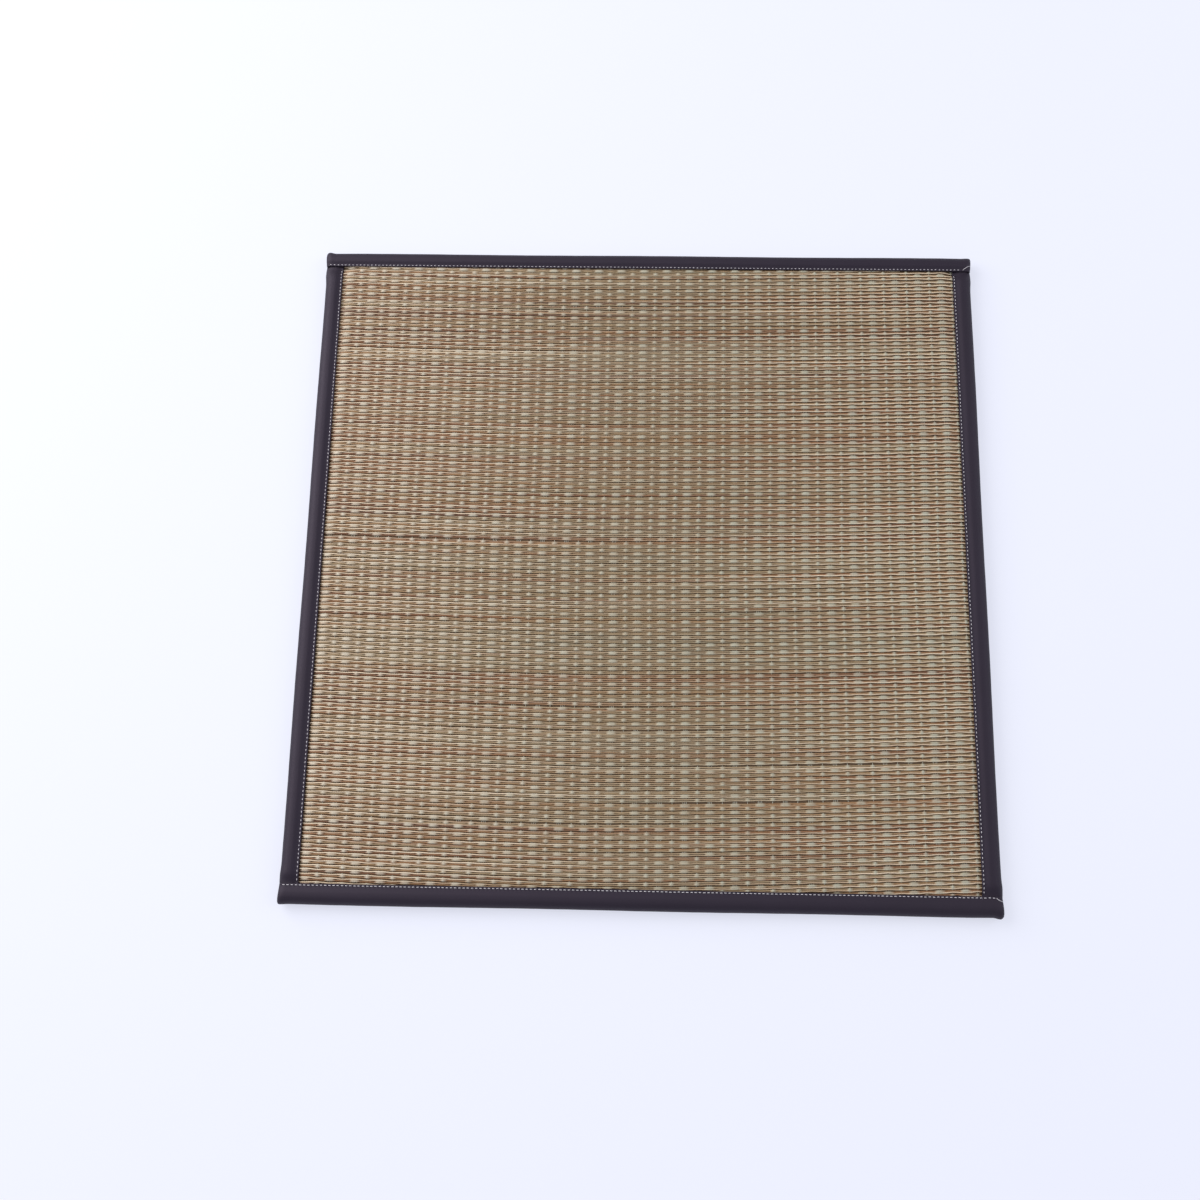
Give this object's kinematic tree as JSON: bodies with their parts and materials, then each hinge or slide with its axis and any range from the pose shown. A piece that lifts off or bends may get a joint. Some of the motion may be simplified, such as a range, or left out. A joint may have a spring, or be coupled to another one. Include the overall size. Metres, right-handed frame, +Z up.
{
  "type": "tatami mat",
  "caption": "Square woven rush floor mat with dark leatherette bindings folded over its edges and stitched along them.",
  "frame": {"origin": "the middle of the flat underside, on the floor", "axes": "+X to the right along the near binding, +Y to the far binding, +Z up through the thickness; the weft rows run along X"},
  "size_m": [0.6026, 0.6027, 0.015],
  "materials": {
    "woven_rush": "plain woven dried rush, soft sheen",
    "leatherette": "smooth dark plum-brown leatherette with a fine grain"
  },
  "bodies": {
    "root": {"mat_panel": "woven_rush", "binding_left": "leatherette", "binding_right": "leatherette", "binding_near": "leatherette", "binding_far": "leatherette"}
  },
  "joints": []
}
